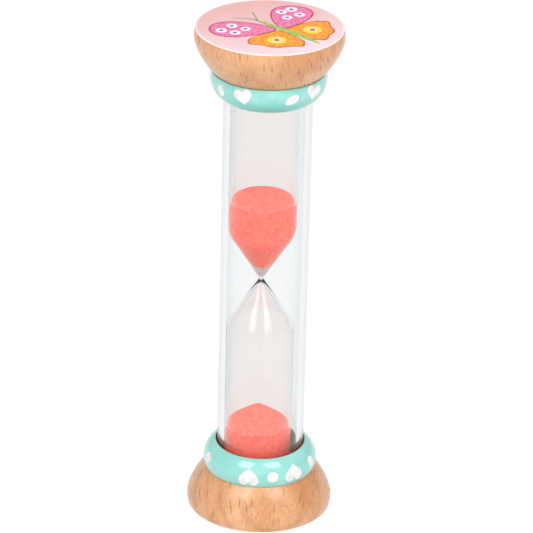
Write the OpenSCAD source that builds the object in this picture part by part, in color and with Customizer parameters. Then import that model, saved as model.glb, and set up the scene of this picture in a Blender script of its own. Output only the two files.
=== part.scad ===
// Sand timer: two turned beech end caps with painted collars hold a clear tube,
// and a blown glass vial with a pinched neck and coral sand stands inside it.
// Millimetres, +Z up. The origin is the centre of the face that it stands on.

/* [Overall] */
// Height from the lower face to the upper face
total_h = 95; // [80:1:130]

/* [Glass vial] */
// Outer diameter of the vial's straight walls
vial_d = 12.4; // [11:0.2:18]
// Thickness of the vial's blown wall
vial_wall = 0.4; // [0.35:0.05:0.7]
// Outer diameter of the pinched neck at its narrowest
neck_d = 1; // [0.9:0.1:1.6]
// Diameter of the hole that the sand runs through
orifice_d = 0.5; // [0.4:0.05:0.6]
// Height from the neck's middle up to the straight wall of the upper bulb
upper_shoulder_h = 11.2; // [10.4:0.2:14]
// Outer radius of the upper bulb's rounding between cone and straight wall
upper_shoulder_round = 6; // [4:0.25:6]
// Height from the neck's middle down to the straight wall of the lower bulb
lower_shoulder_h = 10; // [8:0.2:14]
// Outer radius of the lower bulb's rounding between cone and straight wall
lower_shoulder_round = 3; // [2:0.25:6]
// Radius of the hollow between the cone and the neck, outside
neck_round = 1; // [0.6:0.1:2]
// Height from the neck's middle up to the upper bulb's cavity
upper_funnel_h = 2.9; // [2:0.1:3.2]
// Radius of the rounded end of the upper bulb's cavity
upper_funnel_round = 1.5; // [1.2:0.1:1.8]
// Height from the neck's middle down to the lower bulb's cavity
lower_funnel_h = 1; // [0.8:0.1:1.5]
// Radius of the rounded end of the lower bulb's cavity
lower_funnel_round = 0.6; // [0.4:0.1:0.9]
// Outer diameter of the filling spout on the upper dome
spout_d = 5; // [4:0.2:6]
// Bore of the filling spout
spout_bore_d = 3; // [2:0.2:3.4]
// Height of the spout above the dome
spout_h = 2.4; // [1:0.1:3]

/* [Filling plug] */
// Length of the plug's shank inside the spout
plug_shank_h = 2.2; // [1.5:0.1:3]
// Thickness of the plug's head
plug_head_h = 0.8; // [0.5:0.1:1.2]

/* [Outer tube] */
// Wall of the clear tube
tube_wall = 1.2; // [0.8:0.1:1.5]
// Play between the vial and the tube, all round
vial_play = 0.6; // [0.3:0.05:0.8]

/* [End caps] */
// Height of the wooden cap from its printed face to the collar
cap_h = 8; // [7:0.25:12]
// Wood left between the printed face and the bottom of the socket
cap_floor = 4.5; // [3:0.25:6]
// Width by which the cap's rim stands out past its neck, on each side
cap_flare = 3.45; // [2:0.25:5]
// Height of the widest ring above the printed face
cap_wide_h = 1.5; // [1:0.1:3]
// Radius of the rounded rim
rim_round = 4; // [3:0.25:5]
// Radius of the long curve from the rim to the neck
bowl_round = 14; // [12:1:30]

/* [Collars] */
// Height of the painted collar
collar_h = 4.9; // [4:0.1:7]
// Thickness of the collar at its widest ring
collar_wall = 2.2; // [1.6:0.1:3]
// Height of the collar's widest ring above the cap
collar_wide_h = 1.4; // [0.8:0.1:2]
// Width of the flat lip around the tube
lip_w = 0.25; // [0.2:0.05:0.6]
// Step from the collar in to the cap's neck
joint_step = 0.5; // [0.1:0.05:0.8]

/* [Printed discs] */
// Thickness of the printed disc on each face
print_t = 0.2; // [0.15:0.05:0.4]

/* [Pads] */
// Thickness of the lower pad at its rim
lower_pad_h = 2; // [1.5:0.1:2.5]
// Thickness of the lower pad under the middle of the vial
pad_seat_h = 0.5; // [0.4:0.1:1]
// Thickness of the upper pad
upper_pad_h = 5.2; // [4.6:0.1:6]

/* [Sand] */
// Level of the upper sand above the neck's middle
upper_level = 15.7; // [9:0.1:24]
// Level at which the lower sand meets the glass, above the vial's bottom
lower_level = 11.5; // [8:0.1:20]
// Height of the heap above that level
heap_h = 3.5; // [2:0.1:4.5]
// Radius of the heap's rounded tip
heap_round = 2; // [1:0.1:3]
// Diameter of the falling stream
stream_d = 0.4; // [0.3:0.05:0.4]

/* [Clearances] */
// Between the tube and the socket in the cap, all round
socket_gap = 0.05; // [0.02:0.01:0.15]
// Between the tube and the collar's bore, all round
collar_gap = 0.27; // [0.1:0.01:0.4]
// Between sand and glass, so that the two solids stay apart
sand_gap = 0.04; // [0.02:0.01:0.1]
// Between the vial and the tube where it leans, and around the pads and the plug
lean_gap = 0.1; // [0.03:0.01:0.15]

/* [Hidden] */
$fn = 96;
wide = 200; // larger than any section of the timer
tuck = 0.0005; // depth at which a flank enters the round that it touches, so that the two join cleanly

vial_r = vial_d / 2;
cavity_r = vial_r - vial_wall;
// A bulb: height and outer radius of its shoulder, then height and radius of its cavity's end at the neck.
upper_bulb = [upper_shoulder_h, upper_shoulder_round, upper_funnel_h, upper_funnel_round];
lower_bulb = [lower_shoulder_h, lower_shoulder_round, lower_funnel_h, lower_funnel_round];
tube_in_r = vial_r + vial_play;
tube_r = tube_in_r + tube_wall;
lean_x = -(vial_play - lean_gap); // the vial leans to -X inside the tube

socket_r = tube_r + socket_gap;
bore_r = tube_r + collar_gap;
collar_r = bore_r + collar_wall;
joint_r = collar_r - joint_step;
cap_r = joint_r + cap_flare;

vial_z = cap_floor + pad_seat_h; // bottom of the vial
plug_top_z = total_h - cap_floor - lean_gap;
vial_top_z = plug_top_z - plug_head_h - spout_h; // top of the upper dome
neck_z = (vial_z + vial_top_z) / 2;
dome_z = neck_z - vial_z - vial_r; // centre of each end dome, from the neck

lower_ring_z = vial_z + lower_level;
heap_z = lower_ring_z + heap_h;

beech = [0.90, 0.73, 0.58];
mint = [0.60, 0.89, 0.84];
pink = [0.95, 0.77, 0.79];
coral = [0.99, 0.56, 0.51];
clear = [0.90, 0.93, 0.95, 0.35];
foam = [0.93, 0.93, 0.90];
stopper = [0.96, 0.96, 0.97];

// ---- geometry helpers, all in the (radius, height) plane ----

function dir(a) = [cos(a), sin(a)];

// Left-hand normal of a line that runs at angle a.
function left(a) = [-sin(a), cos(a)];

function angle_of(v) = atan2(v[1], v[0]);

// Radius of the arc that leaves its widest point upright and has come in by dr at a height of dz.
function arc_radius(dr, dz) = (dr * dr + dz * dz) / (2 * dr);

// Angle of the line that touches two circles: the one at p, of radius a, lies on the line's right side
// (on its left side when a is negative), and the one at q, of radius b, lies on its left side.
function tangent(p, a, q, b) = angle_of(q - p) - asin((a + b) / norm(q - p));

// Turns a section in the (radius, height) plane round the Z axis.
module turned() {
    rotate_extrude() intersection() {
        translate([0, -wide]) square([wide, 2 * wide]);
        children();
    }
}

// Places a piece at the upper end, upside down.
module at_upper_end() {
    translate([0, 0, total_h]) mirror([0, 0, 1]) children();
}

// ---- end caps, collars and printed discs, drawn for the lower end ----

// Bowl-shaped side: a tight rim arc that runs into a long arc, which ends at the cap's neck.
module bowl_section() {
    rim = [cap_r - rim_round, cap_wide_h];
    reach = [joint_r, cap_h] - rim;
    grow = bowl_round - rim_round;
    along = (pow(bowl_round, 2) - pow(grow, 2) - pow(norm(reach), 2)) / (2 * grow);
    turn = angle_of(reach) - acos(along / norm(reach));
    bowl = rim - grow * dir(turn);
    square([rim[0], cap_h]);
    intersection() {
        square([cap_r, cap_h]);
        translate(rim) circle(rim_round);
    }
    intersection() {
        square([cap_r, cap_h]);
        translate(bowl) circle(bowl_round, $fn = 4 * $fn);
        translate(bowl) rotate(turn) square([wide, wide]);
    }
}

module end_cap() {
    turned() difference() {
        bowl_section();
        square([wide, print_t]);
        translate([0, cap_floor]) square([socket_r, wide]);
    }
}

// Painted ring with one round side from the joint to the lip.
module collar() {
    side_r = arc_radius(collar_wall - lip_w, collar_h - collar_wide_h);
    turned() difference() {
        intersection() {
            translate([0, cap_h]) square([collar_r, collar_h]);
            translate([collar_r - side_r, cap_h + collar_wide_h]) circle(side_r);
        }
        square([bore_r, wide]);
    }
}

// Thin disc that carries the printed picture, as wide as the cap's flat face.
module printed_disc() {
    face_r = cap_r - rim_round + sqrt(pow(rim_round, 2) - pow(cap_wide_h - print_t, 2));
    cylinder(r = face_r, h = print_t);
}

module lower_end_cap() {
    color(beech) end_cap();
}

module upper_end_cap() {
    color(beech) at_upper_end() end_cap();
}

module lower_collar() {
    color(mint) collar();
}

module upper_collar() {
    color(mint) at_upper_end() collar();
}

module lower_print() {
    color(pink) printed_disc();
}

module upper_print() {
    color(pink) at_upper_end() printed_disc();
}

// ---- clear tube ----

module outer_tube() {
    color(clear) turned() translate([tube_in_r, cap_floor]) square([tube_wall, total_h - 2 * cap_floor]);
}

// ---- vial: sections are drawn with the neck's middle at height 0 ----

// Outside of a bulb that stands on the neck.
module bulb_section(bulb) {
    waist = [neck_d / 2 + neck_round, 0];
    shoulder = [vial_r - bulb[1], bulb[0]];
    slope = tangent(waist, neck_round, shoulder, bulb[1]);
    difference() {
        union() {
            translate([0, bulb[0]]) square([vial_r, dome_z - bulb[0]]);
            translate([0, dome_z]) circle(vial_r);
            translate(shoulder) circle(bulb[1]);
            polygon([[0, 0], waist, waist + (neck_round - tuck) * left(slope),
                shoulder - (bulb[1] - tuck) * left(slope), shoulder, [0, bulb[0]]]);
        }
        translate(waist) circle(neck_round);
    }
}

// Space inside a bulb, from its rounded end at the neck to the dome, less a gap all over.
module cavity_section(bulb, gap = 0) {
    ball = [0, bulb[2] + bulb[3]];
    ball_r = bulb[3] - gap;
    shoulder = [vial_r - bulb[1], bulb[0]];
    round_r = bulb[1] - vial_wall - gap;
    slope = tangent(ball, -ball_r, shoulder, round_r);
    translate([0, bulb[0]]) square([cavity_r - gap, dome_z - bulb[0]]);
    translate([0, dome_z]) circle(cavity_r - gap);
    translate(shoulder) circle(round_r);
    translate(ball) circle(ball_r);
    polygon([ball, ball - (ball_r - tuck) * left(slope), shoulder - (round_r - tuck) * left(slope),
        shoulder, [0, bulb[0]]]);
}

module spout_section() {
    translate([0, dome_z]) square([spout_d / 2, vial_r + spout_h]);
}

module in_vial() {
    translate([lean_x, 0, neck_z]) children();
}

module glass_vial() {
    color(clear) in_vial() turned() difference() {
        union() {
            bulb_section(upper_bulb);
            mirror([0, 1]) bulb_section(lower_bulb);
            spout_section();
        }
        cavity_section(upper_bulb);
        mirror([0, 1]) cavity_section(lower_bulb);
        translate([0, -lower_shoulder_h]) square([orifice_d / 2, lower_shoulder_h + upper_shoulder_h]);
        translate([0, dome_z]) square([spout_bore_d / 2, wide]);
    }
}

// Stopper with a shank in the spout's bore and a head on its rim.
module fill_plug() {
    rim_z = vial_top_z + spout_h;
    color(stopper) translate([lean_x, 0, rim_z]) {
        cylinder(d = spout_d, h = plug_head_h);
        translate([0, 0, -plug_shank_h]) cylinder(r = spout_bore_d / 2 - lean_gap, h = plug_shank_h);
    }
}

// ---- pads that hold the vial's two domes ----

module lower_pad() {
    color(foam) difference() {
        translate([0, 0, cap_floor]) cylinder(r = tube_in_r - lean_gap, h = lower_pad_h);
        translate([lean_x, 0, vial_z + vial_r]) sphere(vial_r);
    }
}

module upper_pad() {
    color(foam) difference() {
        translate([0, 0, total_h - cap_floor - upper_pad_h]) cylinder(r = tube_in_r - lean_gap, h = upper_pad_h);
        translate([lean_x, 0, vial_top_z - vial_r]) sphere(vial_r);
        translate([lean_x, 0, 0]) cylinder(r = spout_d / 2 + lean_gap, h = total_h);
    }
}

// ---- sand ----

module upper_sand() {
    color(coral) in_vial() turned() intersection() {
        cavity_section(upper_bulb, sand_gap);
        square([vial_r, upper_level]);
    }
}

// Filled bottom of the vial with a conical heap, whose tip is rounded.
module lower_sand() {
    edge = [cavity_r - sand_gap, lower_ring_z - neck_z];
    tip = [0, heap_z - neck_z - heap_round];
    slope = tangent(edge, 0, tip, heap_round);
    color(coral) in_vial() turned() intersection() {
        mirror([0, 1]) cavity_section(lower_bulb, sand_gap);
        union() {
            translate([0, -wide]) square([wide, edge[1] + wide]);
            translate(tip) circle(heap_round);
            polygon([[0, edge[1]], edge, tip - (heap_round - tuck) * left(slope), tip]);
        }
    }
}

module sand_stream() {
    top_z = neck_z + upper_funnel_h;
    color(coral) translate([lean_x, 0, heap_z]) cylinder(d = stream_d, h = top_z - heap_z);
}

lower_end_cap();
upper_end_cap();
lower_collar();
upper_collar();
lower_print();
upper_print();
outer_tube();
glass_vial();
fill_plug();
lower_pad();
upper_pad();
lower_sand();
upper_sand();
sand_stream();
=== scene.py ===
"""Looks of a small wooden sand timer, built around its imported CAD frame.

Two turned beech caps with mint lacquered collars hold a clear tube. A blown glass vial with coral
sand stands inside it. Lengths in the fields are millimetres unless a name says otherwise.
"""

import logging
import math
import random
from contextlib import contextmanager
from dataclasses import dataclass, field
from enum import Enum
from typing import Callable, Iterator, Sequence

import bpy
from mathutils import Matrix, Vector


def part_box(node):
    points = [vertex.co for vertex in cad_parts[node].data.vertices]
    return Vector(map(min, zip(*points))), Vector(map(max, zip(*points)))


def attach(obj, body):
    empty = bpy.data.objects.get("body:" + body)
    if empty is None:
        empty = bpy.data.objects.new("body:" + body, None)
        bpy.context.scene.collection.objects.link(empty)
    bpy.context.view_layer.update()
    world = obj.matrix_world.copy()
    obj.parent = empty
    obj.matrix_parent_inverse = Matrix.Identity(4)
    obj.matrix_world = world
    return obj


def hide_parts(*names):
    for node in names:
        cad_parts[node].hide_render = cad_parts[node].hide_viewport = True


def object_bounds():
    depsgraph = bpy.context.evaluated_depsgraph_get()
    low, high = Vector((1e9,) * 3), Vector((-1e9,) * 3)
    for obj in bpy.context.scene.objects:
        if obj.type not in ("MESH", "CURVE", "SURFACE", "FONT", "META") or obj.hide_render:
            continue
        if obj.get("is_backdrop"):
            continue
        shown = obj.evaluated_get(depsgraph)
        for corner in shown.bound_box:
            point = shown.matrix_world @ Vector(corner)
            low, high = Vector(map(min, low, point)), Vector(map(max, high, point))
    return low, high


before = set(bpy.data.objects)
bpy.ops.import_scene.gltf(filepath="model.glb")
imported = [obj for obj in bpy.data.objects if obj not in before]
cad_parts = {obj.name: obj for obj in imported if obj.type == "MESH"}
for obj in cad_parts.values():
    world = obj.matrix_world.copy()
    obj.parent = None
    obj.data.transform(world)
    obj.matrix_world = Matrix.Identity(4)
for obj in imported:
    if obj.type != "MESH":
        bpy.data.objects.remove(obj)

MM = 0.001
BODY = "root"
FULL_TURN = 2 * math.pi
WAVE_STEP = FULL_TURN / 20
"""Distance between two rings of the wave texture at a scale of 1."""
WELD_MM = 0.001
"""Vertices of a CAD mesh that lie closer than this are one vertex."""

log = logging.getLogger("sand_timer")

Point = tuple[float, float]
Span = tuple[float, float]
Triple = tuple[float, float, float]
Colour = tuple[float, float, float, float]


def tint(code: str) -> Colour:
    """Turns a display colour into the linear numbers that shaders use.

    Args:
        code: Six hexadecimal digits, two each for red, green and blue.

    Returns:
        Linear red, green, blue and an opaque alpha.
    """
    parts = [int(code[i : i + 2], 16) / 255 for i in (0, 2, 4)]
    linear = [p / 12.92 if p <= 0.04045 else ((p + 0.055) / 1.055) ** 2.4 for p in parts]
    return (linear[0], linear[1], linear[2], 1.0)


class End(Enum):
    """Which end of the timer a piece belongs to, with the sign of Z that points out of that end."""

    LOWER = -1
    UPPER = 1

    @property
    def word(self) -> str:
        """The word that starts the names of this end's pieces."""
        return self.name.lower()


class Motif(Enum):
    """The shapes printed on the collars."""

    HEART = "heart"
    DOT = "dot"
    OVAL = "oval"


# ---------------------------------------------------------------- shader helpers


class Recipe:
    """Builds one node material step by step, in the piece's own millimetres."""

    def __init__(self, name: str) -> None:
        """Starts a material with one Principled shader.

        Args:
            name: Name of the material.
        """
        self.material = bpy.data.materials.new(name)
        self.material.use_nodes = True
        self.tree = self.material.node_tree
        self.tree.nodes.clear()
        self.output = self.node("ShaderNodeOutputMaterial")
        self.shader = self.node("ShaderNodeBsdfPrincipled")
        self.link(self.shader.outputs[0], self.output.inputs[0])
        self.coordinates = self.node("ShaderNodeTexCoord").outputs["Object"]

    def node(self, kind: str, **settings: object) -> bpy.types.Node:
        """Adds a node.

        Args:
            kind: Blender's name of the node type.
            **settings: Attributes to set on it.

        Returns:
            The new node.
        """
        made = self.tree.nodes.new(kind)
        for key, value in settings.items():
            setattr(made, key, value)
        return made

    def link(self, source: bpy.types.NodeSocket, target: bpy.types.NodeSocket) -> None:
        """Joins an output to an input."""
        self.tree.links.new(source, target)

    def put(self, socket: bpy.types.NodeSocket, value: object) -> None:
        """Links a socket to value if value is an output, or else stores it there."""
        if isinstance(value, bpy.types.NodeSocket):
            self.link(value, socket)
        else:
            socket.default_value = value

    def set(self, **inputs: object) -> None:
        """Sets inputs of the Principled shader, whose names are given with _ for each space."""
        for key, value in inputs.items():
            self.put(self.shader.inputs[key.replace("_", " ").title().replace("Ior", "IOR")], value)

    def space(
        self,
        per_mm: float | Triple = 1.0,
        turn_deg: Triple = (0, 0, 0),
        shift_mm: Triple = (0, 0, 0),
    ) -> bpy.types.NodeSocket:
        """Gives a pattern space.

        Args:
            per_mm: How many pattern units a millimetre holds, or that number along X, Y and Z.
            turn_deg: Turn of the pattern about X, Y and Z.
            shift_mm: Place of the pattern's centre on the piece.

        Returns:
            A vector output for a texture node.
        """
        centre = self.node("ShaderNodeMapping")
        centre.inputs["Location"].default_value = [-s for s in shift_mm]
        centre.inputs["Scale"].default_value = [1 / MM] * 3
        self.link(self.coordinates, centre.inputs["Vector"])
        turned = self.node("ShaderNodeMapping")
        turned.inputs["Rotation"].default_value = [math.radians(t) for t in turn_deg]
        self.link(centre.outputs[0], turned.inputs["Vector"])
        scaled = self.node("ShaderNodeMapping")
        scaled.inputs["Scale"].default_value = per_mm if isinstance(per_mm, tuple) else (per_mm,) * 3
        self.link(turned.outputs[0], scaled.inputs["Vector"])
        return scaled.outputs[0]

    def noise(
        self, space: bpy.types.NodeSocket, detail: float = 2.0, roughness: float = 0.5
    ) -> bpy.types.NodeSocket:
        """Smooth noise between 0 and 1 in a pattern space."""
        made = self.node("ShaderNodeTexNoise")
        made.inputs["Scale"].default_value = 1.0
        made.inputs["Detail"].default_value = detail
        made.inputs["Roughness"].default_value = roughness
        self.link(space, made.inputs["Vector"])
        return made.outputs["Fac"]

    def cells(self, space: bpy.types.NodeSocket) -> bpy.types.Node:
        """A Voronoi node in a pattern space, with its cells one unit apart."""
        made = self.node("ShaderNodeTexVoronoi")
        made.inputs["Scale"].default_value = 1.0
        self.link(space, made.inputs["Vector"])
        return made

    def ramp(
        self, value: bpy.types.NodeSocket, low: float, high: float, start: float = 0.0, end: float = 1.0
    ) -> bpy.types.NodeSocket:
        """Maps value from low..high to start..end with soft ends, and holds it there outside."""
        made = self.node("ShaderNodeMapRange", interpolation_type="SMOOTHSTEP")
        self.link(value, made.inputs["Value"])
        for key, number in (("From Min", low), ("From Max", high), ("To Min", start), ("To Max", end)):
            made.inputs[key].default_value = number
        return made.outputs["Result"]

    def maths(self, operation: str, *values: object) -> bpy.types.NodeSocket:
        """A Math node on outputs or plain numbers."""
        made = self.node("ShaderNodeMath", operation=operation)
        for socket, value in zip(made.inputs, values):
            self.put(socket, value)
        return made.outputs[0]

    def blend(self, share: object, first: object, second: object) -> bpy.types.NodeSocket:
        """Mixes two colours: first where share is 0, second where it is 1."""
        made = self.node("ShaderNodeMix", data_type="RGBA")
        self.put(made.inputs["Factor"], share)
        self.put(made.inputs[6], first)
        self.put(made.inputs[7], second)
        return made.outputs[2]

    def off_axis(self) -> bpy.types.NodeSocket:
        """Distance from the timer's upright axis, in millimetres."""
        flat = self.node("ShaderNodeVectorMath", operation="MULTIPLY")
        self.link(self.space(), flat.inputs[0])
        flat.inputs[1].default_value = (1, 1, 0)
        length = self.node("ShaderNodeVectorMath", operation="LENGTH")
        self.link(flat.outputs[0], length.inputs[0])
        return length.outputs["Value"]

    def bump(self, height: bpy.types.NodeSocket, depth_mm: float, strength: float = 1.0) -> None:
        """Raises the surface by height, which runs from 0 to 1, times a depth."""
        made = self.node("ShaderNodeBump")
        made.inputs["Strength"].default_value = strength
        made.inputs["Distance"].default_value = depth_mm * MM
        self.link(height, made.inputs["Height"])
        self.link(made.outputs[0], self.shader.inputs["Normal"])


# ---------------------------------------------------------------- finishes


@dataclass(frozen=True)
class Rays:
    """One set of short dark rays in the wood, each in a cell stretched along the grain.

    A ray ends at its reach from the cell's middle. Its share is how dark it is.
    """

    per_mm: Triple
    reach: float
    share: float


@dataclass(frozen=True)
class Beech:
    """Turned beech under a thin satin varnish, with its grain upright."""

    name: str
    pith_mm: Point
    ring_share: float
    lean_deg: float = 0.0
    light: str = "E9B282"
    dark: str = "CD8B57"
    fleck: str = "8A4A22"
    cloud_per_mm: Triple = (0.16, 0.16, 0.07)
    cloud_share: float = 0.75
    streak_per_mm: Triple = (3.4, 3.4, 0.16)
    streak_share: float = 0.45
    tone_span: Span = (0.35, 0.82)
    ring_mm: float = 3.2
    ring_waver: float = 3.0
    waver_detail: float = 2.5
    waver_scale: float = 0.6
    ring_span: Span = (0.6, 1.0)
    rays: tuple[Rays, ...] = (Rays((2.8, 0.22, 0.24), 0.28, 1.0), Rays((3.8, 0.4, 0.5), 0.26, 0.5))
    ray_deg: float = 8.0
    ray_share: float = 0.85
    ray_core: float = 0.6
    ray_pick: Span = (0.15, 0.9)
    pore_per_mm: Triple = (5.0, 5.0, 0.5)
    pore_share: float = 0.35
    depth_mm: float = 0.03
    roughness: Span = (0.42, 0.7)

    def rings(self, recipe: Recipe) -> bpy.types.NodeSocket:
        """How much of a growth ring's dark line each point has."""
        made = recipe.node("ShaderNodeTexWave", wave_type="RINGS", rings_direction="Z")
        made.inputs["Scale"].default_value = 1.0
        made.inputs["Distortion"].default_value = self.ring_waver
        made.inputs["Detail"].default_value = self.waver_detail
        made.inputs["Detail Scale"].default_value = self.waver_scale
        lean = (self.lean_deg, self.lean_deg / 2, 0)
        recipe.link(recipe.space(WAVE_STEP / self.ring_mm, lean, (*self.pith_mm, 0)), made.inputs["Vector"])
        return recipe.maths("MULTIPLY", recipe.ramp(made.outputs["Fac"], *self.ring_span), self.ring_share)

    def flecks(self, recipe: Recipe) -> bpy.types.NodeSocket:
        """How deep each point lies in a ray."""
        deepest = None
        for rays in self.rays:
            cells = recipe.cells(recipe.space(rays.per_mm, (0, 0, self.ray_deg)))
            core = rays.reach * self.ray_core
            dash = recipe.ramp(cells.outputs["Distance"], core, rays.reach, self.ray_share * rays.share, 0.0)
            pick = recipe.node("ShaderNodeSeparateColor")
            recipe.link(cells.outputs["Color"], pick.inputs[0])
            dash = recipe.maths("MULTIPLY", dash, recipe.ramp(pick.outputs[0], *self.ray_pick))
            deepest = dash if deepest is None else recipe.maths("MAXIMUM", deepest, dash)
        return deepest

    def build(self) -> bpy.types.Material:
        """Makes the material."""
        recipe = Recipe(self.name)
        clouds = recipe.noise(recipe.space(self.cloud_per_mm), 3.0)
        streaks = recipe.noise(recipe.space(self.streak_per_mm), 2.0, 0.6)
        tone = recipe.maths("MULTIPLY", clouds, self.cloud_share)
        tone = recipe.maths("MULTIPLY_ADD", streaks, self.streak_share, tone)
        colour = recipe.blend(recipe.ramp(tone, *self.tone_span), tint(self.light), tint(self.dark))
        colour = recipe.blend(self.rings(recipe), colour, tint(self.fleck))
        flecks = self.flecks(recipe)
        colour = recipe.blend(flecks, colour, tint(self.fleck))
        recipe.set(base_color=colour, ior=1.5, coat_weight=0.6, coat_roughness=0.2)
        recipe.set(roughness=recipe.ramp(flecks, 0.0, 1.0, *self.roughness))
        pores = recipe.noise(recipe.space(self.pore_per_mm), 1.0)
        depth = recipe.maths("SUBTRACT", recipe.maths("MULTIPLY", pores, self.pore_share), flecks)
        recipe.bump(depth, self.depth_mm, 0.6)
        return recipe.material


@dataclass(frozen=True)
class MintLacquer:
    """Glossy mint lacquer on a turned ring, whose bore is left as bare wood.

    The lacquer is deeper in tone near the ring's lower edge, as painted shade on its underside,
    by a share set for each collar. The bare wood ends within lip_mm outside the bore.
    """

    name: str
    bore_mm: float
    edge_mm: float
    # Strength of the painted shade at the ring's lower edge.
    painted_shade_share: float
    light: str = "9ADBD1"
    dark: str = "8AD2C7"
    # Colour of the painted shade near the lower edge.
    painted_shade_colour: str = "50BCAE"
    wood: str = "A88A6C"
    cloud_per_mm: float = 0.3
    # Heights above the lower edge: below the first the painted shade is full, above the second it is gone.
    painted_shade_mm: Span = (0.4, 3.4)
    lip_mm: Span = (0.03, 0.09)
    ripple_per_mm: Triple = (0.9, 0.9, 1.4)
    ripple_mm: float = 0.05

    def build(self) -> bpy.types.Material:
        """Makes the material."""
        recipe = Recipe(self.name)
        clouds = recipe.noise(recipe.space(self.cloud_per_mm), 2.0)
        paint = recipe.blend(recipe.ramp(clouds, 0.3, 0.7), tint(self.light), tint(self.dark))
        # Painted shade: a deeper mint laid over the lowest few millimetres of the ring, where its underside
        # lies in shade.
        above = recipe.node("ShaderNodeSeparateXYZ")
        recipe.link(recipe.space(shift_mm=(0, 0, self.edge_mm)), above.inputs[0])
        painted_shade_mask = recipe.ramp(above.outputs["Z"], *self.painted_shade_mm, self.painted_shade_share, 0.0)
        paint = recipe.blend(painted_shade_mask, paint, tint(self.painted_shade_colour))
        lip = [self.bore_mm + reach for reach in self.lip_mm]
        inside = recipe.ramp(recipe.off_axis(), *lip, 1.0, 0.0)
        recipe.set(base_color=recipe.blend(inside, paint, tint(self.wood)))
        recipe.set(roughness=0.28, ior=1.5, coat_weight=0.9, coat_roughness=0.08)
        recipe.bump(recipe.noise(recipe.space(self.ripple_per_mm), 1.0), self.ripple_mm, 0.25)
        return recipe.material


@dataclass(frozen=True)
class PrintedPink:
    """Pink print that pales across the disc, with a smooth pale rim painted all round as a highlight on its
    rounded edge.
    """

    name: str
    face_mm: float
    wash_deg: float = 62.0
    cool: str = "FADCE3"
    warm: str = "EDB5AF"
    # Colour of the painted highlight along the disc's rim.
    painted_rim_highlight: str = "FBE9EA"
    wash_per_mm: float = 0.12
    wash_share: float = 0.5
    speck_per_mm: float = 3.0
    speck_share: float = 0.2
    slope_share: float = 0.35
    tone_span: Span = (0.0, 0.75)
    # Depths in from the disc's edge where the painted rim highlight starts and where it is full.
    painted_rim_highlight_mm: Span = (0.45, 0.05)

    def build(self) -> bpy.types.Material:
        """Makes the material."""
        recipe = Recipe(self.name)
        wash = recipe.noise(recipe.space(self.wash_per_mm), 3.0, 0.6)
        specks = recipe.noise(recipe.space(self.speck_per_mm), 2.0, 0.6)
        across = recipe.node("ShaderNodeSeparateXYZ")
        recipe.link(recipe.space(1 / self.face_mm, (0, 0, self.wash_deg)), across.inputs[0])
        tone = recipe.maths("MULTIPLY", wash, self.wash_share)
        tone = recipe.maths("MULTIPLY_ADD", specks, self.speck_share, tone)
        tone = recipe.maths("MULTIPLY_ADD", across.outputs["X"], self.slope_share, tone)
        colour = recipe.blend(recipe.ramp(tone, *self.tone_span), tint(self.warm), tint(self.cool))
        # Painted highlight: the print turns pale in a thin band all round the disc's edge, where the rounded
        # edge catches the light.
        painted_rim_highlight = recipe.ramp(recipe.off_axis(), *(self.face_mm - depth for depth in self.painted_rim_highlight_mm))
        recipe.set(base_color=recipe.blend(painted_rim_highlight, colour, tint(self.painted_rim_highlight)))
        recipe.set(roughness=0.5, ior=1.46, coat_weight=0.2, coat_roughness=0.3)
        recipe.bump(specks, 0.01, 0.5)
        return recipe.material


@dataclass(frozen=True)
class Ink:
    """Printing ink with the slight unevenness of a brushed picture."""

    name: str
    light: str
    dark: str
    roughness: float = 0.42
    coat: float = 0.2
    patch_per_mm: float = 0.8
    grain_per_mm: float = 4.0
    grain_mm: float = 0.008

    def build(self) -> bpy.types.Material:
        """Makes the material."""
        recipe = Recipe(self.name)
        wash = recipe.ramp(recipe.noise(recipe.space(self.patch_per_mm), 3.0, 0.6), 0.35, 0.68)
        recipe.set(base_color=recipe.blend(wash, tint(self.light), tint(self.dark)))
        recipe.set(roughness=self.roughness, ior=1.48, coat_weight=self.coat, coat_roughness=0.12)
        recipe.bump(recipe.noise(recipe.space(self.grain_per_mm), 1.0), self.grain_mm, 0.5)
        return recipe.material


@dataclass(frozen=True)
class ClearWall:
    """Clear glass or acrylic that lamps shine through, with its own tint where it is seen edge-on."""

    name: str
    colour: str
    edge: str
    ior: float
    edge_span: Span = (0.2, 0.85)
    ripple_mm: float = 0.0
    ripple_per_mm: float = 0.12

    def build(self) -> bpy.types.Material:
        """Makes the material."""
        recipe = Recipe(self.name)
        recipe.set(base_color=tint(self.colour), roughness=0.0, ior=self.ior, transmission_weight=1.0)
        if self.edge != self.colour:
            facing = recipe.node("ShaderNodeLayerWeight").outputs["Facing"]
            share = recipe.ramp(facing, *self.edge_span)
            recipe.set(base_color=recipe.blend(share, tint(self.colour), tint(self.edge)))
        if self.ripple_mm:
            recipe.bump(recipe.noise(recipe.space(self.ripple_per_mm), 1.0), self.ripple_mm)
        lamp_way = recipe.node("ShaderNodeBsdfTransparent")
        lamp_way.inputs["Color"].default_value = (1, 1, 1, 1)
        either = recipe.node("ShaderNodeMixShader")
        recipe.link(recipe.node("ShaderNodeLightPath").outputs["Is Shadow Ray"], either.inputs[0])
        recipe.link(recipe.shader.outputs[0], either.inputs[1])
        recipe.link(lamp_way.outputs[0], either.inputs[2])
        recipe.link(either.outputs[0], recipe.output.inputs[0])
        return recipe.material


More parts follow.
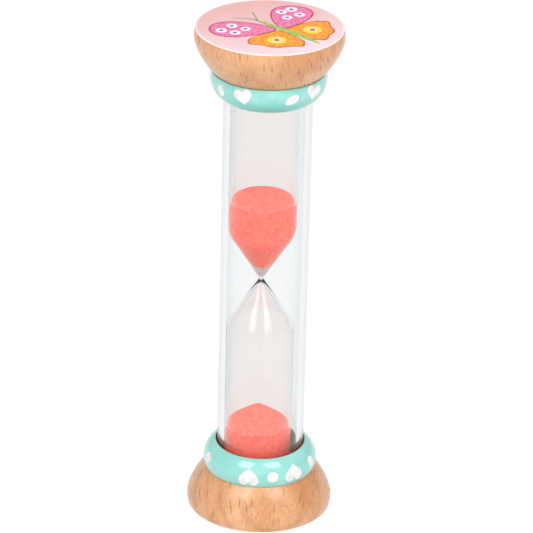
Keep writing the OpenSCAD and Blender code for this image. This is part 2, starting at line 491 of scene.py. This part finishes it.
@dataclass(frozen=True)
class CoralSand:
    """Fine dyed sand: every grain has its own shade."""

    name: str
    light: str = "FF836F"
    middle: str = "FF5D4A"
    dark: str = "EE4636"
    grain_mm: float = 0.16
    depth_mm: Triple = (1.6, 0.35, 0.25)
    depth_share: float = 0.5
    clump_per_mm: float = 1.3
    clump_span: Span = (0.35, 0.65)
    clump_share: float = 0.7
    light_span: Span = (0.55, 1.0)
    light_share: float = 0.55
    dark_span: Span = (0.0, 0.3)
    dark_share: float = 0.5

    def build(self) -> bpy.types.Material:
        """Makes the material."""
        recipe = Recipe(self.name)
        grains = recipe.cells(recipe.space(1 / self.grain_mm))
        shade = recipe.node("ShaderNodeSeparateColor")
        recipe.link(grains.outputs["Color"], shade.inputs[0])
        pick = shade.outputs[0]
        clumps = recipe.noise(recipe.space(self.clump_per_mm), 3.0)
        share = recipe.ramp(clumps, *self.clump_span, 0.0, self.clump_share)
        colour = recipe.blend(share, tint(self.middle), tint(self.light))
        share = recipe.ramp(pick, *self.light_span, 0.0, self.light_share)
        colour = recipe.blend(share, colour, tint(self.light))
        share = recipe.ramp(pick, *self.dark_span, self.dark_share, 0.0)
        colour = recipe.blend(share, colour, tint(self.dark))
        recipe.set(base_color=colour, roughness=0.75, ior=1.5)
        recipe.set(subsurface_weight=self.depth_share, subsurface_radius=self.depth_mm)
        recipe.set(subsurface_scale=MM)
        recipe.bump(recipe.ramp(grains.outputs["Distance"], 0.0, 0.7, 1.0, 0.0), self.grain_mm / 2, 0.5)
        return recipe.material


@dataclass(frozen=True)
class MattePlastic:
    """Plain moulded or foamed white plastic with a fine skin."""

    name: str
    light: str
    dark: str
    grain_per_mm: float
    roughness: float
    skin_mm: float = 0.05

    def build(self) -> bpy.types.Material:
        """Makes the material."""
        recipe = Recipe(self.name)
        cells = recipe.noise(recipe.space(self.grain_per_mm), 3.0)
        recipe.set(base_color=recipe.blend(cells, tint(self.light), tint(self.dark)))
        recipe.set(roughness=self.roughness, ior=1.46)
        recipe.bump(cells, self.skin_mm, 0.6)
        return recipe.material


# ---------------------------------------------------------------- modelling helpers


def deselect_all() -> None:
    """Leaves edit mode and deselects every object."""
    if bpy.context.object and bpy.context.object.mode != "OBJECT":
        bpy.ops.object.mode_set(mode="OBJECT")
    bpy.ops.object.select_all(action="DESELECT")


def make_active(piece: bpy.types.Object) -> None:
    """Selects one object alone and makes it the active one."""
    deselect_all()
    piece.select_set(True)
    bpy.context.view_layer.objects.active = piece


@contextmanager
def editing(piece: bpy.types.Object) -> Iterator[None]:
    """Holds one piece in edit mode."""
    make_active(piece)
    bpy.ops.object.mode_set(mode="EDIT")
    yield
    bpy.ops.object.mode_set(mode="OBJECT")


def turn_faces_out() -> None:
    """Points every face of the mesh in edit mode outward."""
    bpy.ops.mesh.select_all(action="SELECT")
    bpy.ops.mesh.normals_make_consistent(inside=False)


def apply_modifiers(piece: bpy.types.Object) -> None:
    """Applies all modifiers of a piece, first to last."""
    make_active(piece)
    for name in [m.name for m in piece.modifiers]:
        bpy.ops.object.modifier_apply(modifier=name)


def dress(piece: bpy.types.Object, material: bpy.types.Material) -> None:
    """Gives a piece one material."""
    piece.data.materials.clear()
    piece.data.materials.append(material)


def dress_node(name: str, material: bpy.types.Material) -> None:
    """Gives a CAD node one material, in the slot that it already has."""
    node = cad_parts[name]
    if not node.material_slots:
        node.data.materials.append(material)
    for slot in node.material_slots:
        slot.material = material
    log.info("%s wears %s", name, material.name)


def keep(piece: bpy.types.Object, slot: str, *stands_for: str) -> None:
    """Fixes a finished piece to the timer.

    Args:
        piece: The piece, finished and in place.
        slot: Name of the record's material slot for the piece; not used.
        *stands_for: CAD nodes that it replaces.
    """
    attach(piece, BODY)
    if stands_for:
        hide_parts(*stands_for)
    log.info("%s: %d faces", piece.name, len(piece.data.polygons))


def smooth(piece: bpy.types.Object, angle_deg: float = 40.0) -> None:
    """Shades a piece smooth, apart from its sharp edges."""
    make_active(piece)
    bpy.ops.object.shade_smooth_by_angle(angle=math.radians(angle_deg))


def plate(name: str, outline: Sequence[Point], base: float, height: float) -> bpy.types.Object:
    """Models a flat plate, such as a layer of ink, from a filled circle that is drawn out to an outline.

    Args:
        name: Name of the piece.
        outline: Its corners in X and Y, anticlockwise.
        base: Height of its underside.
        height: Its thickness.

    Returns:
        The closed piece, in metres.
    """
    deselect_all()
    bpy.ops.mesh.primitive_circle_add(vertices=len(outline), radius=MM, fill_type="NGON")
    piece = bpy.context.object
    piece.name = name
    for vertex, (x, y) in zip(piece.data.vertices, outline):
        vertex.co = (x * MM, y * MM, base * MM)
    with editing(piece):
        bpy.ops.mesh.select_all(action="SELECT")
        bpy.ops.mesh.extrude_region_move(TRANSFORM_OT_translate={"value": (0, 0, height * MM)})
        turn_faces_out()
    return piece


def ring_outline(centre: Point, radius: float, corners: int = 28) -> list[Point]:
    """The corners of a circle, anticlockwise."""
    turns = (FULL_TURN * i / corners for i in range(corners))
    return [(centre[0] + radius * math.cos(t), centre[1] + radius * math.sin(t)) for t in turns]


def stroke_outline(line: Sequence[Point], width: Callable[[float], float], steps: int = 24) -> list[Point]:
    """Draws a brush stroke along a cubic curve.

    Args:
        line: The curve's four control points.
        width: The stroke's full width at each share of its length.
        steps: How many stretches it has.

    Returns:
        The stroke's outline.
    """
    a, b, c, d = (Vector(p) for p in line)
    left, right = [], []
    for i in range(steps + 1):
        t = i / steps
        s = 1 - t
        at = a * s**3 + b * 3 * s * s * t + c * 3 * s * t * t + d * t**3
        way = ((b - a) * s * s + (c - b) * 2 * s * t + (d - c) * t * t).normalized()
        side = Vector((-way.y, way.x)) * width(t) / 2
        left.append(tuple(at + side))
        right.append(tuple(at - side))
    return right + left[::-1]


def joined(name: str, pieces: Sequence[bpy.types.Object]) -> bpy.types.Object:
    """Joins pieces of one finish into one object with a name."""
    deselect_all()
    for piece in pieces:
        piece.select_set(True)
    bpy.context.view_layer.objects.active = pieces[0]
    if len(pieces) > 1:
        bpy.ops.object.join()
    pieces[0].name = name
    pieces[0].data.name = name
    return pieces[0]


def merged_copy(node: str, name: str) -> bpy.types.Object:
    """Copies a CAD node's mesh into a new object and merges its loose triangles."""
    piece = bpy.data.objects.new(name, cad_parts[node].data.copy())
    bpy.context.scene.collection.objects.link(piece)
    with editing(piece):
        bpy.ops.mesh.select_all(action="SELECT")
        bpy.ops.mesh.remove_doubles(threshold=WELD_MM * MM)
        bpy.ops.mesh.select_all(action="DESELECT")
    return piece


# ---------------------------------------------------------------- end caps and collars


@dataclass
class EndCaps:
    """The two turned caps and the printed discs on their faces."""

    upper_wood: Beech = Beech("beech_upper", pith_mm=(60.0, 70.0), ring_share=0.08)
    lower_wood: Beech = Beech("beech_lower", pith_mm=(14.0, -40.0), lean_deg=32.0, ring_share=0.16)

    def build(self) -> None:
        """Dresses the caps and their discs."""
        face_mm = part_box("upper_print")[1].x / MM
        pink = PrintedPink("pink_print", face_mm).build()
        for end, wood in ((End.UPPER, self.upper_wood), (End.LOWER, self.lower_wood)):
            dress_node(f"{end.word}_end_cap", wood.build())
            dress_node(f"{end.word}_print", pink)


@dataclass
class MotifPlace:
    """One printed shape on a collar."""

    shape: Motif
    azimuth_deg: float
    rise: float
    turn_deg: float
    width: float
    height: float


@dataclass
class Collars:
    """The two lacquered rings and the pale shapes printed round them.

    The shapes in front are listed one by one. Those behind repeat hearts and dots at one pitch.
    """

    bore_gap: float = 0.27
    ink_height: float = 0.02
    pitch_deg: float = 26.0
    corners: int = 56
    rings: int = 5
    heart_lift: float = 0.08
    back_heart: Point = (3.4, 3.2)
    back_dot: float = 2.1
    back_rise: float = 2.0
    rise_play: float = 0.5
    turn_play_deg: float = 25.0
    last_gap: float = 0.9
    # Strength of the painted shade at each collar's lower edge.
    painted_shade_share: dict[End, float] = field(default_factory=lambda: {End.LOWER: 0.1, End.UPPER: 0.95})
    print_ink: Ink = Ink("motif_ink", "F1EEEE", "E2DDDD", roughness=0.35, coat=0.9)
    front: dict[End, list[MotifPlace]] = field(
        default_factory=lambda: {
            End.LOWER: [
                MotifPlace(Motif.DOT, -68, 2.7, 0, 2.3, 2.1),
                MotifPlace(Motif.HEART, -11, 2.3, 181, 3.8, 4.3),
                MotifPlace(Motif.DOT, 14, 2.1, 0, 2.1, 2.1),
                MotifPlace(Motif.HEART, 38, 2.5, 180, 3.8, 4.3),
                MotifPlace(Motif.OVAL, 66, 2.6, 10, 1.9, 2.5),
            ],
            End.UPPER: [
                MotifPlace(Motif.OVAL, -53, 1.8, 20, 1.7, 2.2),
                MotifPlace(Motif.HEART, -25, 1.8, 12, 3.5, 3.7),
                MotifPlace(Motif.OVAL, 24, 2.0, -58, 1.8, 2.8),
                MotifPlace(Motif.HEART, 50, 1.7, -14, 3.7, 3.5),
            ],
        }
    )

    def outline(self, shape: Motif) -> list[Point]:
        """The outline of a shape in a square from -0.5 to 0.5, with a heart's point at the bottom.

        The heart is the usual sum of cosines over a cubed sine.
        """
        turns = [FULL_TURN * i / self.corners for i in range(self.corners)]
        if shape is not Motif.HEART:
            return [(0.5 * math.cos(t), 0.5 * math.sin(t)) for t in turns]
        made = []
        for t in turns:
            a = math.pi / 2 - t
            x = math.sin(a) ** 3
            y = (13 * math.cos(a) - 5 * math.cos(2 * a) - 2 * math.cos(3 * a) - math.cos(4 * a)) / 16
            made.append((0.5 * x, 0.5 * y + self.heart_lift))
        return made

    def places(self, end: End) -> Iterator[MotifPlace]:
        """Gives the shapes in front, then repeats hearts and dots round the back."""
        front = self.front[end]
        yield from front
        azimuth = front[-1].azimuth_deg + self.pitch_deg
        last = front[0].azimuth_deg + 360 - self.pitch_deg * self.last_gap
        rng = random.Random(end.value)
        heart = front[-1].shape is not Motif.HEART
        upright = 180 if end is End.LOWER else 0
        while azimuth <= last:
            turn = rng.uniform(-self.turn_play_deg, self.turn_play_deg) + upright
            if heart:
                yield MotifPlace(Motif.HEART, azimuth, self.back_rise, turn, *self.back_heart)
            else:
                rise = self.back_rise + rng.uniform(-self.rise_play, self.rise_play)
                yield MotifPlace(Motif.DOT, azimuth, rise, 0, self.back_dot, self.back_dot)
            heart = not heart
            azimuth += self.pitch_deg

    def flat_shape(self, place: MotifPlace) -> bpy.types.Object:
        """Models a shape as a flat sheet of rings round its middle."""
        deselect_all()
        bpy.ops.mesh.primitive_circle_add(vertices=self.corners, radius=MM, fill_type="NOTHING")
        piece = bpy.context.object
        for vertex, (x, y) in zip(piece.data.vertices, self.outline(place.shape)):
            vertex.co = (x * place.width * MM, y * place.height * MM, 0)
        with editing(piece):
            bpy.ops.mesh.select_all(action="SELECT")
            for ring in range(self.rings, 1, -1):
                bpy.ops.mesh.extrude_region_move()
                shrink = (ring - 1) / ring
                bpy.ops.transform.resize(value=(shrink, shrink, 1))
            bpy.ops.mesh.edge_face_add()
            bpy.ops.mesh.poke()
        return piece

    def shape_piece(self, place: MotifPlace, end: End, collar: bpy.types.Object) -> bpy.types.Object:
        """Models one printed shape and lays it on its collar.

        Args:
            place: What it is and where it goes.
            end: The end that the collar is on.
            collar: The collar's CAD node.

        Returns:
            A thin closed piece that follows the collar's round side.
        """
        piece = self.flat_shape(place)
        low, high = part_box(collar.name)
        face_z = low.z if end is End.LOWER else high.z
        upright = Matrix.Rotation(math.radians(90), 4, "X")
        turn = Matrix.Rotation(math.radians(place.turn_deg), 4, "Z")
        reach = Matrix.Translation((0, -high.x, face_z - end.value * place.rise * MM))
        swing = Matrix.Rotation(math.radians(place.azimuth_deg), 4, "Z")
        piece.data.transform(swing @ reach @ (upright @ turn))
        wrap = piece.modifiers.new("wrap", "SHRINKWRAP")
        wrap.target = collar
        wrap.wrap_method = "NEAREST_SURFACEPOINT"
        wrap.wrap_mode = "ABOVE_SURFACE"
        wrap.offset = self.ink_height * MM
        skin = piece.modifiers.new("skin", "SOLIDIFY")
        skin.thickness = self.ink_height * MM
        skin.offset = -1
        apply_modifiers(piece)
        with editing(piece):
            turn_faces_out()
        return piece

    def build(self) -> None:
        """Dresses the collars and prints the shapes on them."""
        bore_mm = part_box("outer_tube")[1].x / MM + self.bore_gap
        ink = self.print_ink.build()
        for end in End:
            name = f"{end.word}_collar"
            edge_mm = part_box(name)[0].z / MM
            lacquer = MintLacquer(f"mint_{end.word}", bore_mm, edge_mm, self.painted_shade_share[end])
            dress_node(name, lacquer.build())
            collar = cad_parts[name]
            shapes = [self.shape_piece(place, end, collar) for place in self.places(end)]
            piece = joined(f"{end.word}_collar_motifs", shapes)
            smooth(piece)
            dress(piece, ink)
            keep(piece, "mint_lacquer")


# ---------------------------------------------------------------- butterfly picture


@dataclass
class Wing:
    """One wing: a lobe from its root to its tip, with round spots on it.

    Each spot has its share of the way to the tip, its share of the width to the left, and its radius.
    """

    root: Point
    tip: Point
    width: float
    flare: float
    scallops: int = 0
    scallop_depth: float = 0.0
    spots: Sequence[Triple] = ()

    def place(self, along: float, across: float) -> Point:
        """A point at a share of the length from root to tip, and of the width to the left."""
        dx, dy = self.tip[0] - self.root[0], self.tip[1] - self.root[1]
        length = math.hypot(dx, dy)
        side = across * self.width / length
        return (self.root[0] + along * dx - side * dy, self.root[1] + along * dy + side * dx)

    def outline(self, grow: float = 0.0, corners: int = 72) -> list[Point]:
        """Draws the lobe's outline.

        Args:
            grow: How far the outline lies outside the wing.
            corners: How many corners it has.

        Returns:
            Its corners, anticlockwise.
        """
        length = math.hypot(self.tip[0] - self.root[0], self.tip[1] - self.root[1])
        made = []
        for i in range(corners):
            t = FULL_TURN * i / corners
            wave = 1 + self.scallop_depth * math.cos(self.scallops * t) * max(0.0, math.cos(t))
            along = 0.5 + (0.5 + grow / length) * math.cos(t) * wave
            bulge = 0.5 * math.sin(t) * (1 + self.flare * math.cos(t)) * wave
            across = bulge * (1 + 2 * grow / self.width)
            made.append(self.place(along, across))
        return made


@dataclass
class Butterfly:
    """A plain picture of a butterfly, printed in thin layers on the upper disc."""

    line: float = 0.32
    layer: float = 0.012
    upper_wings: Sequence[Wing] = (
        Wing(
            (0.8, -1.2), (-10.5, -1.7), 6.5, 0.35,
            spots=((0.83, 0.1, 1.05), (0.66, -0.24, 1.0), (0.62, 0.26, 1.0), (0.45, -0.02, 0.95)),
        ),
        Wing(
            (2.4, -0.2), (4.6, 10.2), 6.6, 0.38,
            spots=((0.84, 0.08, 1.1), (0.68, 0.3, 1.0), (0.64, -0.22, 1.0), (0.46, 0.06, 0.95)),
        ),
    )
    lower_wings: Sequence[Wing] = (
        Wing((1.5, -1.9), (1.1, -9.2), 8.4, 0.62, 8, 0.07, spots=((0.6, 0.0, 1.7),)),
        Wing((3.2, -0.8), (10.9, -1.2), 7.6, 0.62, 8, 0.07, spots=((0.56, 0.0, 1.7),)),
    )
    body_line: Sequence[Point] = ((-2.2, 2.8), (1.2, 0.0), (4.6, -3.2), (8.6, -7.1))
    body_width: float = 1.25
    body_span: Span = (0.06, 0.96)
    body_fullness: float = 0.7
    feelers: Sequence[Sequence[Point]] = (
        ((-2.0, 2.6), (-3.4, 4.0), (-5.2, 4.0), (-7.0, 3.7)),
        ((-2.0, 2.6), (-2.6, 4.0), (-2.9, 5.6), (-3.2, 7.0)),
    )
    feeler_widths: Span = (0.352, 0.16)

    def lobes(self, wings: Sequence[Wing], grow: float = 0.0) -> list[list[Point]]:
        """The outlines of some wings, which may be grown to make their borders."""
        return [wing.outline(grow) for wing in wings]

    def spots(self, wings: Sequence[Wing], size: float) -> list[list[Point]]:
        """The outlines of the spots on some wings, at a share of their radius."""
        return [ring_outline(w.place(u, v), r * size) for w in wings for u, v, r in w.spots]

    def body_stroke_width(self, share: float) -> float:
        """The body's width at a share of its length, thickest near its middle."""
        start, end = self.body_span
        return self.body_width * math.sin(math.pi * (start + (end - start) * share)) ** self.body_fullness

    def feeler_stroke_width(self, share: float) -> float:
        """A feeler's width at a share of its length, thinner towards its end."""
        root, end = self.feeler_widths
        return root + (end - root) * share

    def layer_piece(self, name: str, outlines: Sequence[Sequence[Point]], level: int, ink: Ink) -> None:
        """Prints one layer of the picture.

        Args:
            name: Name of the piece.
            outlines: The shapes in this layer.
            level: How many layers of ink it stands on.
            ink: Its ink.
        """
        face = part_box("upper_print")[1].z / MM
        plates = [plate(name, outline, face, self.layer * (level + 1)) for outline in outlines]
        piece = joined(name, plates)
        dress(piece, ink.build())
        keep(piece, "printed_disc")

    def build(self) -> None:
        """Prints all layers."""
        upper, lower = self.upper_wings, self.lower_wings
        body = [stroke_outline(self.body_line, self.body_stroke_width)]
        feelers = [stroke_outline(line, self.feeler_stroke_width) for line in self.feelers]
        for name, outlines, level, ink in (
            ("upper_wing_borders", self.lobes(upper, self.line), 0, Ink("magenta_ink", "DF2F7C", "CC2470")),
            ("upper_wings", self.lobes(upper), 1, Ink("rose_ink", "F68FB8", "E5588F", patch_per_mm=1.4)),
            ("lower_wing_borders", self.lobes(lower, self.line), 0, Ink("amber_ink", "DE6A1C", "C95414")),
            ("lower_wings", self.lobes(lower), 1, Ink("orange_ink", "FDAE1C", "F28A14", patch_per_mm=1.2)),
            ("upper_wing_spots", self.spots(upper, 1.0), 2, Ink("white_ink", "FFF8FC", "F6E6F2")),
            ("upper_wing_spot_centres", self.spots(upper, 0.36), 3, Ink("violet_ink", "8A5BB8", "7A4FA8")),
            ("lower_wing_spots", self.spots(lower, 1.0), 2, Ink("yellow_ink", "FFE84A", "FBD21E")),
            ("lower_wing_spot_rings", self.spots(lower, 0.5), 3, Ink("pale_ink", "FFF4DC", "FCEBC8")),
            ("lower_wing_spot_centres", self.spots(lower, 0.3), 4, Ink("crimson_ink", "E2347E", "C92A6E")),
            ("butterfly_body", body, 3, Ink("leaf_ink", "B4D65A", "7FB24A", patch_per_mm=1.6)),
            ("butterfly_feelers", feelers, 2, Ink("green_ink", "86B47C", "5F9B6A")),
        ):
            self.layer_piece(name, outlines, level, ink)


# ---------------------------------------------------------------- glass and what it holds


@dataclass
class Glassware:
    """The clear tube, the blown vial, its plug and the pads that hold it."""

    tube_steps: int = 720
    vial_steps: int = 256
    section_slack: float = 1e-4
    seam_weld: float = 0.0005
    tube: ClearWall = ClearWall("clear_tube", "F9FAFA", "DDE2E6", 1.42)
    vial: ClearWall = ClearWall("vial_glass", "FDFAF9", "FDFAF9", 1.33, ripple_mm=0.02)

    def turned_again(self, node: str, name: str, steps: int) -> bpy.types.Object:
        """Turns a CAD node's own section once more, in fine steps, so that light bends evenly in it.

        Args:
            node: The CAD node, a solid of revolution.
            name: Name of the new piece.
            steps: How many steps the full turn has.

        Returns:
            The closed piece.
        """
        piece = merged_copy(node, name)
        low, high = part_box(node)
        axis = (low + high) / 2
        slack = self.section_slack * MM
        for vertex in piece.data.vertices:
            vertex.select = abs(vertex.co.y - axis.y) > slack or vertex.co.x < axis.x - slack
        with editing(piece):
            bpy.ops.mesh.delete(type="VERT")
            bpy.ops.mesh.select_all(action="SELECT")
            bpy.ops.mesh.spin(steps=steps, angle=FULL_TURN, center=axis, axis=(0, 0, 1), dupli=False)
            bpy.ops.mesh.select_all(action="SELECT")
            bpy.ops.mesh.remove_doubles(threshold=self.seam_weld * MM)
            turn_faces_out()
        smooth(piece, 30)
        return piece

    def build(self) -> None:
        """Turns the clear pieces and dresses those that they stand on."""
        for node, name, slot, wall, steps in (
            ("outer_tube", "clear_tube", "clear_tube", self.tube, self.tube_steps),
            ("glass_vial", "blown_vial", "vial_glass", self.vial, self.vial_steps),
        ):
            piece = self.turned_again(node, name, steps)
            dress(piece, wall.build())
            keep(piece, slot, node)
        dress_node("fill_plug", MattePlastic("plug_plastic", "F7F8F9", "EFF1F3", 3.0, 0.4).build())
        foam = MattePlastic("pad_foam", "F4F3EE", "E4E2DA", 4.0, 0.9).build()
        for end in End:
            dress_node(f"{end.word}_pad", foam)


@dataclass
class Sand:
    """The sand in both bulbs and the grains that fall between them."""

    gap: float = 0.04
    voxel: float = 0.13
    lump: float = 0.3
    lump_depth: float = 0.08
    lump_level: float = 0.8
    glass_touch: float = 0.12
    grain: float = 0.085
    grains: int = 70
    spread: float = 0.2
    neck_share: float = 0.55
    fall_power: int = 5
    stretch: Span = (0.6, 1.1)
    seed: int = 11
    finish: CoralSand = CoralSand("coral_sand")

    def bed(self, node: str, name: str) -> bpy.types.Object:
        """Models a bed of sand with a grainy surface, swollen a little until it touches the glass."""
        piece = merged_copy(node, name)
        mesher = piece.modifiers.new("even", "REMESH")
        mesher.mode = "VOXEL"
        mesher.voxel_size = self.voxel * MM
        swell = piece.modifiers.new("to_the_glass", "DISPLACE")
        swell.strength = (self.gap + self.glass_touch) * MM
        swell.mid_level = 0.0
        lumps = bpy.data.textures.new(f"{name}_lumps", "CLOUDS")
        lumps.noise_scale = self.lump * MM
        lumps.noise_depth = 1
        rough = piece.modifiers.new("grains", "DISPLACE")
        rough.texture = lumps
        rough.texture_coords = "LOCAL"
        rough.strength = self.lump_depth * MM
        rough.mid_level = self.lump_level
        apply_modifiers(piece)
        bpy.ops.object.shade_smooth()
        return piece

    def falling(self) -> bpy.types.Object:
        """Models the stream as single grains, close together at the neck and further apart below."""
        low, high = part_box("sand_stream")
        axis = (low + high) / 2
        rng = random.Random(self.seed)
        deselect_all()
        bpy.ops.mesh.primitive_ico_sphere_add(subdivisions=1, radius=self.grain * MM)
        first = bpy.context.object
        grains = [first]
        for _ in range(self.grains - 1):
            copy = first.copy()
            copy.data = first.data.copy()
            bpy.context.scene.collection.objects.link(copy)
            grains.append(copy)
        for index, grain in enumerate(grains):
            share = (index + rng.random()) / self.grains
            drop = (high.z - low.z) * share**self.fall_power
            width = self.neck_share + (1 - self.neck_share) * share
            reach = self.spread * MM * math.sqrt(rng.random()) * width
            turn = rng.uniform(0, FULL_TURN)
            place = Vector((axis.x + reach * math.cos(turn), axis.y + reach * math.sin(turn), high.z - drop))
            stretch = Matrix.Diagonal([rng.uniform(*self.stretch) for _ in range(3)] + [1])
            spin = Matrix.Rotation(rng.uniform(0, math.pi), 4, Vector((rng.random(), rng.random(), 1)))
            grain.data.transform(Matrix.Translation(place) @ spin @ stretch)
        return joined("falling_grains", grains)

    def build(self) -> None:
        """Builds the beds and the stream."""
        sand = self.finish.build()
        for end in End:
            bed = self.bed(f"{end.word}_sand", f"{end.word}_sand_bed")
            dress(bed, sand)
            keep(bed, "coral_sand", f"{end.word}_sand")
        stream = self.falling()
        dress(stream, sand)
        keep(stream, "coral_sand", "sand_stream")


# ---------------------------------------------------------------- studio


@dataclass
class Softbox:
    """One large soft lamp that looks at the timer."""

    name: str
    azimuth_deg: float
    elevation_deg: float
    distance_m: float
    size_m: Point
    watts: float

    def build(self, target: Vector) -> None:
        """Hangs the lamp."""
        a, e = math.radians(self.azimuth_deg), math.radians(self.elevation_deg)
        back = Vector((math.sin(a) * math.cos(e), -math.cos(a) * math.cos(e), math.sin(e)))
        data = bpy.data.lights.new(self.name, "AREA")
        data.shape = "RECTANGLE"
        data.size, data.size_y = self.size_m
        data.energy = self.watts
        lamp = bpy.data.objects.new(self.name, data)
        lamp.visible_camera = False
        lamp.location = target + back * self.distance_m
        lamp.rotation_euler = back.to_track_quat("Z", "Y").to_euler()
        bpy.context.scene.collection.objects.link(lamp)


@dataclass
class Studio:
    """White floor, soft light and the camera."""

    camera_m: float = 0.6573
    elevation_deg: float = 25.44
    roll_deg: float = 1.38
    lens_mm: float = 243.8
    shift: Point = (0.0045, 0.0064)
    clip_m: float = 0.01
    floor_m: float = 6.0
    world: str = "F8F9FB"
    world_strength: float = 0.56
    floor_grey: str = "7C7C7C"
    floor_drop_mm: float = 0.02
    floor_glow: float = 0.83
    lamps: Sequence[Softbox] = (
        Softbox("left_softbox", -36, 49, 0.8, (0.34, 0.42), 2.45),
        Softbox("right_softbox", 36, 49, 0.8, (0.34, 0.42), 2.45),
        Softbox("front_fill", 10, 12, 0.9, (0.9, 0.3), 0.7),
    )

    def lay_floor(self, low: float) -> None:
        """Lays a wide white floor that lights the timer from below."""
        deselect_all()
        bpy.ops.mesh.primitive_plane_add(size=self.floor_m, location=(0, 0, 0))
        floor = bpy.context.object
        floor.name = "studio_floor"
        floor.data.transform(Matrix.Translation((0, 0, low - self.floor_drop_mm * MM)))
        recipe = Recipe("white_floor")
        recipe.set(base_color=tint(self.floor_grey), roughness=1.0, specular_ior_level=0.0)
        recipe.set(emission_color=(1, 1, 1, 1), emission_strength=self.floor_glow)
        dress(floor, recipe.material)
        floor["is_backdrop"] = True

    def light(self, target: Vector) -> None:
        """Sets the sky and hangs the lamps."""
        world = bpy.data.worlds.new("studio_white")
        bpy.context.scene.world = world
        world.use_nodes = True
        sky = world.node_tree.nodes["Background"]
        sky.inputs["Color"].default_value = tint(self.world)
        sky.inputs["Strength"].default_value = self.world_strength
        for lamp in self.lamps:
            lamp.build(target)

    def aim(self, target: Vector) -> None:
        """Places the camera in front of the timer, above it and a little rolled."""
        e = math.radians(self.elevation_deg)
        back = Vector((0, -math.cos(e), math.sin(e)))
        data = bpy.data.cameras.new("camera")
        data.lens = self.lens_mm
        data.shift_x, data.shift_y = self.shift
        data.clip_start = self.clip_m
        camera = bpy.data.objects.new("camera", data)
        turn = back.to_track_quat("Z", "Y").to_matrix().to_4x4()
        roll = Matrix.Rotation(math.radians(self.roll_deg), 4, "Z")
        camera.matrix_world = Matrix.Translation(target + back * self.camera_m) @ turn @ roll
        bpy.context.scene.collection.objects.link(camera)
        bpy.context.scene.camera = camera

    def build(self, low: Vector, high: Vector) -> None:
        """Builds the studio round the timer's box."""
        target = Vector((0, 0, (low.z + high.z) / 2))
        self.lay_floor(low.z)
        self.light(target)
        self.aim(target)
        bpy.context.scene.view_settings.view_transform = "Standard"
        log.info("studio ready, target %.1f mm up", target.z / MM)


def main() -> None:
    """Builds the looks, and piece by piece."""
    logging.basicConfig(level=logging.INFO, format="%(name)s: %(message)s")
    cad_low, cad_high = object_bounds()
    Studio().build(cad_low, cad_high)
    EndCaps().build()
    Collars().build()
    Butterfly().build()
    Glassware().build()
    Sand().build()


if __name__ == "__main__":
    main()
